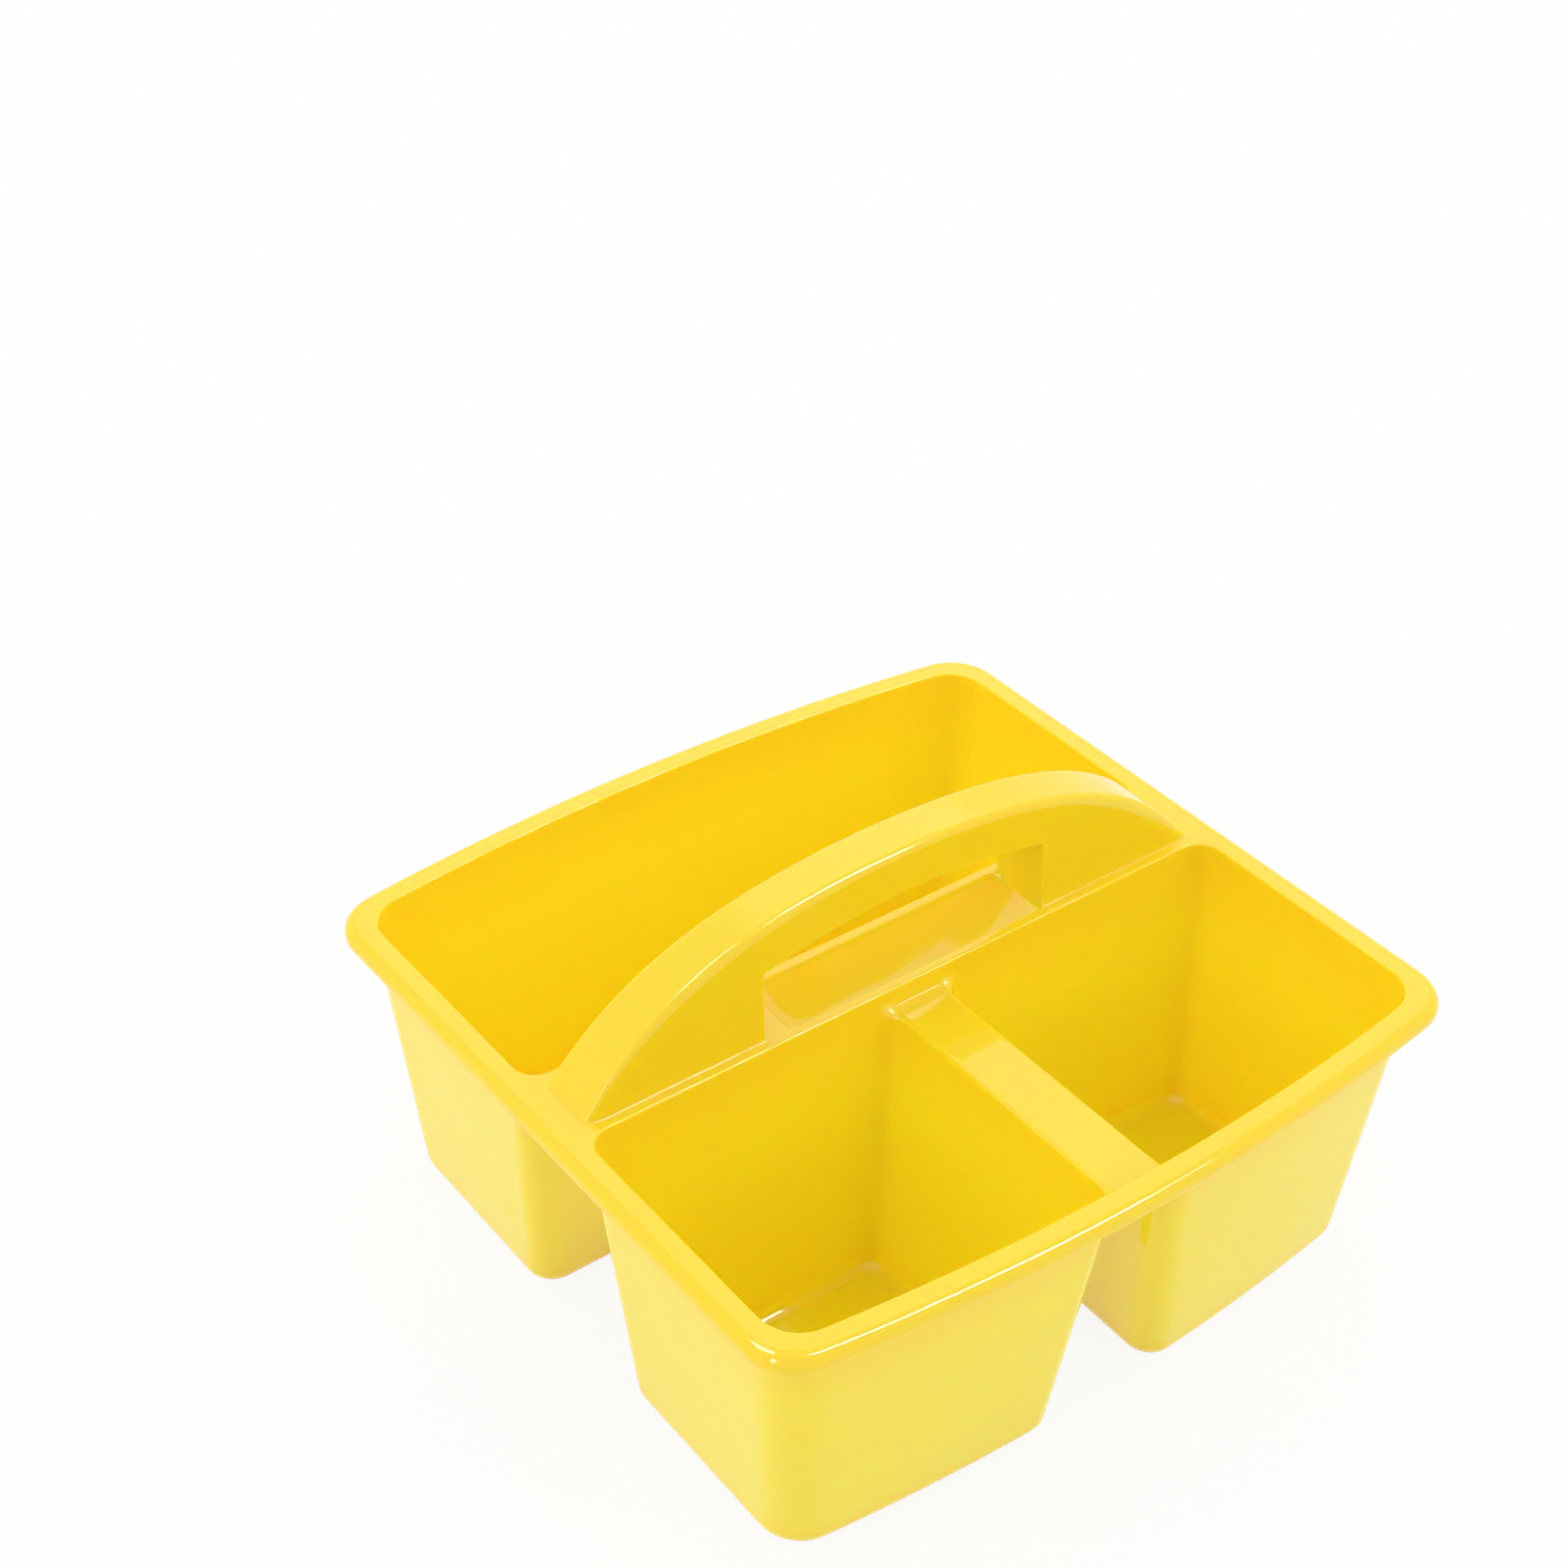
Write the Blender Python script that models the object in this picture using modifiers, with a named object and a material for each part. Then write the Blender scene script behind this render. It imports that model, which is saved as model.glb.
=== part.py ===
"""Cleaning caddy: a thin glossy moulding with one long tub, two small tubs and an arched carrying handle.

Metres, +Z up. X runs along the handle, -Y is the side with the two small tubs, z = 0 is the underside.
"""

import math

import bmesh
import bpy
from mathutils import Matrix

# Moulding
WALL = 0.0018
GAP = 0.0003
SEAT_GAP = 0.0005

# Rim, seen from above: straight at the sides, bowed at the front and back
RIM_TOP = 0.0915
RIM_HALF_X = 0.1175
RIM_HALF_Y = 0.1151
BOW = 0.0093
RIM_WIDTH = 0.0080
RIM_CORNER = 0.0150
LIP_HEIGHT = 0.0049
LIP_ROUND = 0.0032
LAND_ROUND = 0.0008

# Openings
OPENING_OUTER_CORNER = 0.0120
OPENING_INNER_CORNER = 0.0070
DIVIDER_HALF_X = 0.0083

# Tubs
TUB_DRAFT_OUTER = 0.0082
TUB_DRAFT_SLOT = 0.0096
TUB_DRAFT_DIVIDER = 0.0105
TUB_BOTTOM_ROUND = 0.0060

# Saddle between the two small tubs
SADDLE_DIP = 0.0060
SADDLE_ROUND = 0.0020

# Handle: its arch is a level part less shares of the second, fourth and sixth power
HANDLE_RISE = 0.0412
HANDLE_HALF_Y = 0.0103
HANDLE_DRAFT = 0.066
HANDLE_LEDGE = 0.0032
HANDLE_END_LAND = 0.0029
STRAP_ROUND = 0.0025
ARCH_SQUARE = 0.507
ARCH_FOURTH = 0.255

# Hand hole
HOLE_HALF_X = 0.0491
HOLE_BAND = 0.0136
HOLE_CROWN = 0.0059
HOLE_CORNER = 0.0050

# Facets, and how closely shapes are joined and searched
CORNER_STEPS = 6
BOW_STEPS = 8
ROUND_STEPS = 4
LAND_STEPS = 2
ARCH_STEPS = 36
ARCH_OVERRUN = 1.06
FOOT_HALVINGS = 60
SLOPE_STEP = 1e-5
WELD = 1e-6

# Colour
YELLOW = (0.95, 0.62, 0.01, 1.0)
ROUGHNESS = 0.18

BOW_RADIUS = (RIM_HALF_X**2 + BOW**2) / (2 * BOW)
OPENING_HALF_X = RIM_HALF_X - RIM_WIDTH
OPENING_HALF_Y = RIM_HALF_Y - RIM_WIDTH
HANDLE_HALF_X = OPENING_HALF_X - HANDLE_END_LAND
DECK_HALF_Y = HANDLE_HALF_Y + HANDLE_LEDGE
TUB_TOP = RIM_TOP - WALL - SEAT_GAP
HANDLE_FOOT = RIM_TOP + GAP
HOLE_TOP = RIM_TOP + HANDLE_RISE - HOLE_BAND
SADDLE_TOP = RIM_TOP - SADDLE_DIP
SADDLE_DEPTH = SADDLE_DIP / RIM_TOP
SADDLE_HALF_X = DIVIDER_HALF_X + TUB_DRAFT_DIVIDER * SADDLE_DEPTH

for old in list(bpy.data.objects):
    bpy.data.objects.remove(old, do_unlink=True)

parts = bpy.data.collections.new("cleaning_caddy")
cutters = bpy.data.collections.new("cutters")
for group in (parts, cutters):
    bpy.context.scene.collection.children.link(group)
cutters.hide_render = True


# Outlines

def arc(cx, cy, radius, start, end, steps):
    """Points on a circle from one angle to another, in degrees."""
    found = []
    for i in range(steps + 1):
        angle = math.radians(start + (end - start) * i / steps)
        found.append((cx + radius * math.cos(angle), cy + radius * math.sin(angle)))
    return found


def edge_corner(x, edge, bow, radius, side, up):
    """Centre of the round between the upright edge x and a cross edge, and the angle where they touch."""
    cx = x - side * radius
    if bow is None:
        return cx, edge - up * radius, 90.0 * up
    centre = edge - up * bow
    cy = centre + up * math.sqrt((bow - radius) ** 2 - cx**2)
    return cx, cy, math.degrees(math.atan2(cy - centre, cx))


def outline(x0, x1, low, high, r_low, r_high, steps=CORNER_STEPS):
    """Rounded outline, anticlockwise. low and high are (y, bow radius or None); radii are (left, right)."""
    found = []
    ax, ay, a_end = edge_corner(x0, low[0], low[1], r_low[0], -1, -1)
    bx, by, b_end = edge_corner(x1, low[0], low[1], r_low[1], 1, -1)
    cx, cy, c_end = edge_corner(x1, high[0], high[1], r_high[1], 1, 1)
    dx, dy, d_end = edge_corner(x0, high[0], high[1], r_high[0], -1, 1)
    a_end, b_end = a_end % 360, b_end % 360
    found += arc(ax, ay, r_low[0], 180, a_end, steps)
    if low[1]:
        found += arc(0, low[0] + low[1], low[1], a_end, b_end, BOW_STEPS)[1:-1]
    found += arc(bx, by, r_low[1], b_end, 360, steps)
    found += arc(cx, cy, r_high[1], 0, c_end, steps)
    if high[1]:
        found += arc(0, high[0] - high[1], high[1], c_end, d_end, BOW_STEPS)[1:-1]
    found += arc(dx, dy, r_high[0], d_end, 180, steps)
    return found


def bowed(y, inward):
    """The bowed front or back edge of the rim, moved inwards."""
    return (y - math.copysign(inward, y), BOW_RADIUS - inward)


# Objects

def material(name):
    made = bpy.data.materials.new(name)
    made.use_nodes = True
    shader = made.node_tree.nodes["Principled BSDF"]
    shader.inputs["Base Color"].default_value = YELLOW
    shader.inputs["Roughness"].default_value = ROUGHNESS
    shader.inputs["Metallic"].default_value = 0.0
    return made


def keep(name, mesh, smooth=True):
    """A part with its own material."""
    obj = bpy.data.objects.new(name, mesh)
    parts.objects.link(obj)
    mesh.materials.clear()
    mesh.materials.append(material(name + "_plastic"))
    for face in mesh.polygons:
        face.use_smooth = smooth
    return obj


def cutter(name, mesh):
    obj = bpy.data.objects.new(name, mesh)
    cutters.objects.link(obj)
    obj.hide_render = True
    obj.display_type = "WIRE"
    return obj


def cut(obj, tool):
    made = obj.modifiers.new("Cut " + tool.name, "BOOLEAN")
    made.operation = "DIFFERENCE"
    made.solver = "EXACT"
    made.object = tool


def finish(name, bm):
    bmesh.ops.remove_doubles(bm, verts=bm.verts, dist=WELD)
    bmesh.ops.recalc_face_normals(bm, faces=bm.faces)
    mesh = bpy.data.meshes.new(name)
    bm.to_mesh(mesh)
    bm.free()
    return mesh


def box(name, x0, x1, y0, y1, z0, z1):
    bm = bmesh.new()
    bmesh.ops.create_cube(bm, size=1.0)
    size = Matrix.Diagonal((x1 - x0, y1 - y0, z1 - z0, 1))
    place = Matrix.Translation(((x0 + x1) / 2, (y0 + y1) / 2, (z0 + z1) / 2))
    bmesh.ops.transform(bm, matrix=place @ size, verts=bm.verts)
    return finish(name, bm)


PLANES = {
    "XY": Matrix.Identity(4),
    "XZ": Matrix(((1, 0, 0, 0), (0, 0, -1, 0), (0, 1, 0, 0), (0, 0, 0, 1))),
    "YZ": Matrix(((0, 0, 1, 0), (1, 0, 0, 0), (0, 1, 0, 0), (0, 0, 0, 1))),
}


def poly_spline(curve, points, closed=True):
    spline = curve.splines.new("POLY")
    spline.points.add(len(points) - 1)
    for point, at in zip(spline.points, points):
        point.co = (*at, 1) if len(at) == 3 else (*at, 0, 1)
    spline.use_cyclic_u = closed


def mesh_of_curve(name, curve):
    """The curve as a closed mesh in a bmesh."""
    obj = bpy.data.objects.new(name + " curve", curve)
    bpy.context.scene.collection.objects.link(obj)
    bpy.context.view_layer.update()
    mesh = bpy.data.meshes.new_from_object(obj.evaluated_get(bpy.context.evaluated_depsgraph_get()))
    bpy.data.objects.remove(obj)
    bm = bmesh.new()
    bm.from_mesh(mesh)
    bpy.data.meshes.remove(mesh)
    return bm


def prism(name, points, half, plane, middle=0.0, bend=None):
    """A flat shape in one of the planes, filled and thickened by half each way about middle."""
    curve = bpy.data.curves.new(name, "CURVE")
    curve.dimensions = "2D"
    curve.fill_mode = "BOTH"
    curve.extrude = half
    poly_spline(curve, points)
    bm = mesh_of_curve(name, curve)
    bmesh.ops.transform(bm, matrix=PLANES[plane] @ Matrix.Translation((0, 0, middle)), verts=bm.verts)
    if bend:
        for vert in bm.verts:
            vert.co.y = bend(vert.co.y, vert.co.z)
    return finish(name, bm)


def rings(name, sections, joined=False, floor=False):
    """A loft through outlines with equal counts. joined closes it into a ring; floor fills the last."""
    bm = bmesh.new()
    loops = [[bm.verts.new(at) for at in section] for section in sections]
    pairs = list(zip(loops, loops[1:] + loops[:1]))
    for first, second in pairs if joined else pairs[:-1]:
        for i in range(len(first)):
            j = (i + 1) % len(first)
            bm.faces.new((first[i], first[j], second[j], second[i]))
    if floor:
        bm.faces.new(loops[-1])
    return finish(name, bm)


# Rim: a rolled lip outside, a flat land inside

def rim_section(inward, drop):
    corner = RIM_CORNER + (OPENING_OUTER_CORNER - RIM_CORNER) * inward / RIM_WIDTH
    half = RIM_HALF_X - inward
    plan = outline(
        -half, half, bowed(-RIM_HALF_Y, inward), bowed(RIM_HALF_Y, inward), (corner,) * 2, (corner,) * 2
    )
    return [(x, y, RIM_TOP + drop) for x, y in plan]


profile = [(0, -LIP_HEIGHT)]
profile += arc(LIP_ROUND, -LIP_ROUND, LIP_ROUND, 180, 90, ROUND_STEPS)
profile += arc(RIM_WIDTH - LAND_ROUND, -LAND_ROUND, LAND_ROUND, 90, 0, LAND_STEPS)
profile += [(RIM_WIDTH, -WALL)]
profile += arc(LIP_ROUND, -LIP_ROUND, LIP_ROUND - WALL, 90, 180, ROUND_STEPS)
profile += [(WALL, -LIP_HEIGHT)]
keep("rim", rings("rim", [rim_section(*at) for at in profile], joined=True))


# Openings cut from the bar that carries the handle

def opening(name, x0, x1, low, high, r_low, r_high):
    plan = outline(x0, x1, low, high, r_low, r_high)
    return cutter(name, prism(name, plan, 2 * WALL, "XY", RIM_TOP))


inner = (OPENING_INNER_CORNER,) * 2
outer = (OPENING_OUTER_CORNER,) * 2
rear_opening = opening(
    "rear_opening", -OPENING_HALF_X, OPENING_HALF_X,
    (DECK_HALF_Y, None), bowed(RIM_HALF_Y, RIM_WIDTH), inner, outer,
)
front_opening = opening(
    "front_opening", -OPENING_HALF_X, OPENING_HALF_X,
    bowed(-RIM_HALF_Y, RIM_WIDTH), (-DECK_HALF_Y, None), outer, inner,
)


# Arch of the handle

def arch(x):
    u = x / HANDLE_HALF_X
    sixth = 1 - ARCH_SQUARE - ARCH_FOURTH
    return RIM_TOP + HANDLE_RISE * (1 - ARCH_SQUARE * u**2 - ARCH_FOURTH * u**4 - sixth * u**6)


def arch_point(x, depth):
    """A point under the arch, measured square to it."""
    slope = (arch(x + SLOPE_STEP) - arch(x - SLOPE_STEP)) / (2 * SLOPE_STEP)
    length = math.hypot(1, slope)
    return x + depth * slope / length, arch(x) - depth / length


def arch_points(reach, depth):
    return [arch_point(reach * (2 * i / ARCH_STEPS - 1), depth) for i in range(ARCH_STEPS + 1)]


def lean(y, z):
    """The sides of the handle draw in as they rise."""
    return y - math.copysign(HANDLE_DRAFT * (z - RIM_TOP), y)


def foot(depth):
    """x at which the arch, moved in by depth, reaches the deck."""
    near = HANDLE_HALF_X / 2
    far = HANDLE_HALF_X * ARCH_OVERRUN
    for _ in range(FOOT_HALVINGS):
        middle = (near + far) / 2
        if arch_point(middle, depth)[1] > HANDLE_FOOT:
            near = middle
        else:
            far = middle
    return near


# Handle deck: the bar with the hollow of the handle open through it, wider under the hand hole

def deck_slot(name, half_x, half_y):
    corner = (STRAP_ROUND - WALL,) * 2
    plan = outline(-half_x, half_x, (-half_y, None), (half_y, None), corner, corner)
    return cutter(name, prism(name, plan, 2 * WALL, "XY", RIM_TOP))


deck_reach = DECK_HALF_Y + OPENING_INNER_CORNER
deck_half_x = OPENING_HALF_X - GAP
deck = keep(
    "handle_deck",
    box("handle_deck", -deck_half_x, deck_half_x, -deck_reach, deck_reach, RIM_TOP - WALL, RIM_TOP),
    smooth=False,
)
hollow_slot = deck_slot("hollow_slot", arch_point(foot(WALL), WALL)[0], HANDLE_HALF_Y - WALL)
hole_slot = deck_slot("hole_slot", HOLE_HALF_X, HANDLE_HALF_Y)
for tool in (rear_opening, front_opening, hollow_slot, hole_slot):
    cut(deck, tool)


# Tubs: drafted cups with rounded bottom edges

def tub(name, x0, x1, low, high, r_low, r_high, drafts):
    """x0, x1, low and high bound the inside at rim height; drafts say how far each of them draws in."""
    sections = []
    levels = [(TUB_TOP, 0.0)]
    for i in range(ROUND_STEPS + 1):
        angle = math.radians(90 * i / ROUND_STEPS)
        levels.append((TUB_BOTTOM_ROUND * (1 - math.sin(angle)), TUB_BOTTOM_ROUND * (1 - math.cos(angle))))
    for z, inset in levels:
        part_way = (RIM_TOP - z) / RIM_TOP
        left, right, near, far = (WALL - inset - draft * part_way for draft in drafts)
        plan = outline(
            x0 - left,
            x1 + right,
            (low[0] - near, low[1] and low[1] + near),
            (high[0] + far, high[1] and high[1] + far),
            tuple(r + WALL - inset for r in r_low),
            tuple(r + WALL - inset for r in r_high),
        )
        sections.append([(x, y, z) for x, y in plan])
    obj = keep(name, rings(name, sections, floor=True))
    shell = obj.modifiers.new("Wall", "SOLIDIFY")
    shell.thickness = WALL
    shell.offset = -1
    shell.use_even_offset = True
    shell.use_quality_normals = True
    return obj


tub(
    "rear_tub", -OPENING_HALF_X, OPENING_HALF_X,
    (DECK_HALF_Y, None), bowed(RIM_HALF_Y, RIM_WIDTH), inner, outer,
    (TUB_DRAFT_OUTER, TUB_DRAFT_OUTER, TUB_DRAFT_SLOT, TUB_DRAFT_OUTER),
)
front_tubs = (
    tub(
        "front_left_tub", -OPENING_HALF_X, -DIVIDER_HALF_X,
        bowed(-RIM_HALF_Y, RIM_WIDTH), (-DECK_HALF_Y, None), (outer[0], inner[0]), inner,
        (TUB_DRAFT_OUTER, TUB_DRAFT_DIVIDER, TUB_DRAFT_OUTER, TUB_DRAFT_SLOT),
    ),
    tub(
        "front_right_tub", DIVIDER_HALF_X, OPENING_HALF_X,
        bowed(-RIM_HALF_Y, RIM_WIDTH), (-DECK_HALF_Y, None), (inner[0], outer[0]), inner,
        (TUB_DRAFT_DIVIDER, TUB_DRAFT_OUTER, TUB_DRAFT_OUTER, TUB_DRAFT_SLOT),
    ),
)


# Saddle: a strip that dips between the small tubs, turned up at both ends

saddle_back = -DECK_HALF_Y - TUB_DRAFT_SLOT * SADDLE_DEPTH
saddle_front = -OPENING_HALF_Y + TUB_DRAFT_OUTER * SADDLE_DEPTH
low_z = SADDLE_TOP - WALL
outside = SADDLE_ROUND + WALL
saddle_plan = [(saddle_front - WALL, TUB_TOP)]
saddle_plan += arc(saddle_front - WALL + outside, low_z + outside, outside, 180, 270, ROUND_STEPS)
saddle_plan += arc(saddle_back + WALL - outside, low_z + outside, outside, 270, 360, ROUND_STEPS)
saddle_plan += [(saddle_back + WALL, TUB_TOP), (saddle_back, TUB_TOP)]
bend_z = SADDLE_TOP + SADDLE_ROUND
saddle_plan += arc(saddle_back - SADDLE_ROUND, bend_z, SADDLE_ROUND, 0, -90, ROUND_STEPS)
saddle_plan += arc(saddle_front + SADDLE_ROUND, bend_z, SADDLE_ROUND, 270, 180, ROUND_STEPS)
saddle_plan += [(saddle_front, TUB_TOP)]
keep("divider_saddle", prism("divider_saddle", saddle_plan, SADDLE_HALF_X, "YZ"), smooth=False)
dip_half = SADDLE_HALF_X + GAP
dip = cutter(
    "saddle_dip",
    box("saddle_dip", -dip_half, dip_half, -RIM_HALF_Y, 0, low_z - SEAT_GAP, RIM_TOP + WALL),
)
for obj in front_tubs:
    cut(obj, dip)


# Strap: the arched top, its long edges rolled over

half = HANDLE_HALF_Y
hollow = STRAP_ROUND - WALL
section = arc(STRAP_ROUND - half, -STRAP_ROUND, STRAP_ROUND, 180, 90, ROUND_STEPS)
section += arc(half - STRAP_ROUND, -STRAP_ROUND, STRAP_ROUND, 90, 0, ROUND_STEPS)
section += arc(half - STRAP_ROUND, -STRAP_ROUND, hollow, 0, 90, ROUND_STEPS)
section += arc(STRAP_ROUND - half, -STRAP_ROUND, hollow, 90, 180, ROUND_STEPS)
section_curve = bpy.data.curves.new("strap_section", "CURVE")
section_curve.dimensions = "2D"
poly_spline(section_curve, section)
section_obj = bpy.data.objects.new("strap_section", section_curve)
cutters.objects.link(section_obj)
section_obj.hide_render = True
strap_path = bpy.data.curves.new("strap_path", "CURVE")
strap_path.dimensions = "3D"
strap_path.twist_mode = "Z_UP"
strap_path.bevel_mode = "OBJECT"
strap_path.bevel_object = section_obj
strap_path.use_fill_caps = True
reach = HANDLE_HALF_X * ARCH_OVERRUN
poly_spline(strap_path, [(x, 0, z) for x, z in arch_points(reach, 0)], closed=False)
bm = mesh_of_curve("handle_strap", strap_path)
for vert in bm.verts:
    vert.co.y = lean(vert.co.y, vert.co.z)
strap = keep("handle_strap", finish("handle_strap", bm))
under = cutter(
    "under_strap",
    box("under_strap", -RIM_HALF_X, RIM_HALF_X, -RIM_HALF_Y, RIM_HALF_Y, 0, HANDLE_FOOT),
)
cut(strap, under)


# Webs: the sides of the handle, each with the hand hole open down to the deck

web_depth = STRAP_ROUND + GAP
web_foot = foot(web_depth)
hole_radius = (HOLE_HALF_X**2 + HOLE_CROWN**2) / (2 * HOLE_CROWN)
hole_plan = outline(
    -HOLE_HALF_X, HOLE_HALF_X, (HANDLE_FOOT - 2 * HOLE_CORNER, None), (HOLE_TOP, hole_radius),
    (HOLE_CORNER,) * 2, (HOLE_CORNER,) * 2,
)
hole_edge = [(HOLE_HALF_X, HANDLE_FOOT)]
hole_edge += [at for at in hole_plan if at[1] > HANDLE_FOOT]
hole_edge += [(-HOLE_HALF_X, HANDLE_FOOT)]
web_plan = arch_points(web_foot, web_depth) + hole_edge
web_middle = HANDLE_HALF_Y - WALL / 2
for name, middle in (("handle_front_web", web_middle), ("handle_rear_web", -web_middle)):
    keep(name, prism(name, web_plan, WALL / 2, "XZ", middle, bend=lean), smooth=False)


# Jambs: walls across the hollow at both ends of the hand hole

jamb_half_y = HANDLE_HALF_Y - WALL - GAP
jamb_x = HOLE_HALF_X + WALL / 2
jamb_top = arch_point(HOLE_HALF_X + WALL, WALL + GAP)[1] - GAP
jamb_round = (hollow,) * 2
jamb_plan = outline(
    -jamb_half_y, jamb_half_y, (RIM_TOP, None), (jamb_top, None), (GAP, GAP), jamb_round, steps=ROUND_STEPS
)
for name, middle in (("hand_hole_left_jamb", -jamb_x), ("hand_hole_right_jamb", jamb_x)):
    keep(name, prism(name, jamb_plan, WALL / 2, "YZ", middle, bend=lean), smooth=False)
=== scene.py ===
"""Cleaning caddy in glossy yellow plastic, dressed as the one thin moulding that it is.

Metres, +Z up. X runs along the handle, -Y is the side with the two small tubs, z = 0 is the underside.
Each piece is modelled as a sheet, the side that is seen from above, and then given the wall's thickness.
"""

import math

import bmesh
import bpy
from mathutils import Matrix, Vector


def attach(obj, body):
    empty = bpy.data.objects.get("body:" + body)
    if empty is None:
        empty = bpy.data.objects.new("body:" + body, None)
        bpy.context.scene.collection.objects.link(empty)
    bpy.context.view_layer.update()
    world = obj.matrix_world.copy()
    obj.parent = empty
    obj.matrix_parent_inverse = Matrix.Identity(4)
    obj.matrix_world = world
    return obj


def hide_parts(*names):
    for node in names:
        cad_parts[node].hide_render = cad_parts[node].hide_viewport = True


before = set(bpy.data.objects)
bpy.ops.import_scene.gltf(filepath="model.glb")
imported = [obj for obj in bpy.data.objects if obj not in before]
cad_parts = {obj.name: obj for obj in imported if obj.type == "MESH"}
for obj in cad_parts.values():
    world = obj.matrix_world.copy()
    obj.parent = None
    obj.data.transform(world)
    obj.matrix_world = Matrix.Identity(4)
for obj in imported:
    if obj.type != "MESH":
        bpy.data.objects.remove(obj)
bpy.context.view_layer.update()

# Moulding
WALL = 0.0018
RIM_TOP = 0.0915
SEAM_Z = 0.0815
SUPPORT = 0.0003

# Rim
RIM_HALF_X = 0.1175
RIM_HALF_Y = 0.1151
BOW = 0.0093
RIM_WIDTH = 0.0080
RIM_CORNER = 0.0150
LIP_HEIGHT = 0.0049
LIP_ROUND = 0.0032
LIP_EDGE = 0.0004
LIP_EDGE_STEPS = 2
LIP_STEPS = 10

# Openings and tubs
OPENING_OUTER_CORNER = 0.0120
OPENING_INNER_CORNER = 0.0070
OPENING_ROUND = 0.0006
DIVIDER_HALF_X = 0.0083
CROSSING_SPREAD = 0.0022
DRAFT_OUTER = 0.0082 / RIM_TOP
DRAFT_SLOT = 0.0096 / RIM_TOP
DRAFT_DIVIDER = 0.0105 / RIM_TOP
FLOOR_ROUND = 0.0042

# Saddle
SADDLE_TOP = 0.0855
SADDLE_ROUND = 0.0013
SADDLE_END_ROUND = 0.0009
SADDLE_SUPPORT = 0.0006

# Handle
HANDLE_RISE = 0.0412
HANDLE_HALF_X = 0.1066
HANDLE_HALF_Y = 0.0103
HANDLE_DRAFT = 0.066
WEB_FILLET = 0.0008
STRAP_FILLET = 0.0004
DECK_HALF_Y = 0.0135
STRAP_EDGE_CROWN = 0.0022
STRAP_EDGE_LEG_Y = 0.0018
STRAP_EDGE_LEG_DEPTH = 0.0053
ARCH_SQUARE = 0.507
ARCH_FOURTH = 0.255

# Hand hole
HOLE_HALF_X = 0.0491
HOLE_TOP = 0.1191
HOLE_CROWN = 0.0059
HOLE_CORNER = 0.0013
HOLE_EDGE = 0.0005
HOLE_BELOW = 0.02
SILL_EDGE = 0.0008
SILL_CORNER = 0.0045
HOLE_SHELF_X = -0.0409
HOLE_SHELF_CORNER = 0.0015
JAMB_TOP = 0.1262
JAMB_GAP = 2e-5

# Facets
CORNER_STEPS = 10
BOW_STEPS = 16
ROUND_STEPS = 6
EDGE_STEPS = 9
ARCH_STEPS = 72
HOLE_STEPS = 24
HOLE_EDGE_STEPS = 3
FOOT_TRIES = 50
FOOT_REACH = 1.05
SLOPE_STEP = 1e-5
WELD = 2e-6
NEAR = 1e-5
SMOOTH_ANGLE = math.radians(42)

BOW_RADIUS = (RIM_HALF_X**2 + BOW**2) / (2 * BOW)
OPENING_HALF_X = RIM_HALF_X - RIM_WIDTH


# Outlines

def arc(cx, cy, radius, start, end, steps):
    """Points on a circle from one angle to another, in degrees."""
    found = []
    for i in range(steps + 1):
        angle = math.radians(start + (end - start) * i / steps)
        found.append((cx + radius * math.cos(angle), cy + radius * math.sin(angle)))
    return found


def edge_corner(x, edge, bow, radius, side, up):
    """Centre of the round between the upright edge x and a cross edge, and the angle where they touch."""
    cx = x - side * radius
    if bow is None:
        return cx, edge - up * radius, 90.0 * up
    centre = edge - up * bow
    cy = centre + up * math.sqrt((bow - radius) ** 2 - cx**2)
    return cx, cy, math.degrees(math.atan2(cy - centre, cx))


def outline(x0, x1, low, high, r_low, r_high, steps=CORNER_STEPS, bow_steps=2 * BOW_STEPS):
    """Rounded outline, anticlockwise. low and high are (y, bow radius or None); radii are (left, right)."""
    found = []
    ax, ay, a_end = edge_corner(x0, low[0], low[1], r_low[0], -1, -1)
    bx, by, b_end = edge_corner(x1, low[0], low[1], r_low[1], 1, -1)
    cx, cy, c_end = edge_corner(x1, high[0], high[1], r_high[1], 1, 1)
    dx, dy, d_end = edge_corner(x0, high[0], high[1], r_high[0], -1, 1)
    a_end, b_end = a_end % 360, b_end % 360
    found += arc(ax, ay, r_low[0], 180, a_end, steps)
    if low[1]:
        found += arc(0, low[0] + low[1], low[1], a_end, b_end, bow_steps)[1:-1]
    found += arc(bx, by, r_low[1], b_end, 360, steps)
    found += arc(cx, cy, r_high[1], 0, c_end, steps)
    if high[1]:
        found += arc(0, high[0] - high[1], high[1], c_end, d_end, bow_steps)[1:-1]
    found += arc(dx, dy, r_high[0], d_end, 180, steps)
    return found


def bowed(y, inward):
    """The bowed front or back edge of the rim, moved inwards."""
    return (y - math.copysign(inward, y), BOW_RADIUS - inward)


def at_height(plan, z):
    return [(x, y, z) for x, y in plan]


# Modelling

def clear_selection():
    if bpy.context.object and bpy.context.object.mode != "OBJECT":
        bpy.ops.object.mode_set(mode="OBJECT")
    bpy.ops.object.select_all(action="DESELECT")


def number_points(obj, points):
    """Lay a new primitive's points where they belong, and number them for the extrudes that follow."""
    count = len(obj.data.vertices)
    if count != len(points):
        raise ValueError(f"{obj.name} has {count} points, and {len(points)} places")
    number = obj.data.attributes.new("number", "INT", "POINT")
    for i, vert in enumerate(obj.data.vertices):
        vert.co = points[i]
        number.data[i].value = i


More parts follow.
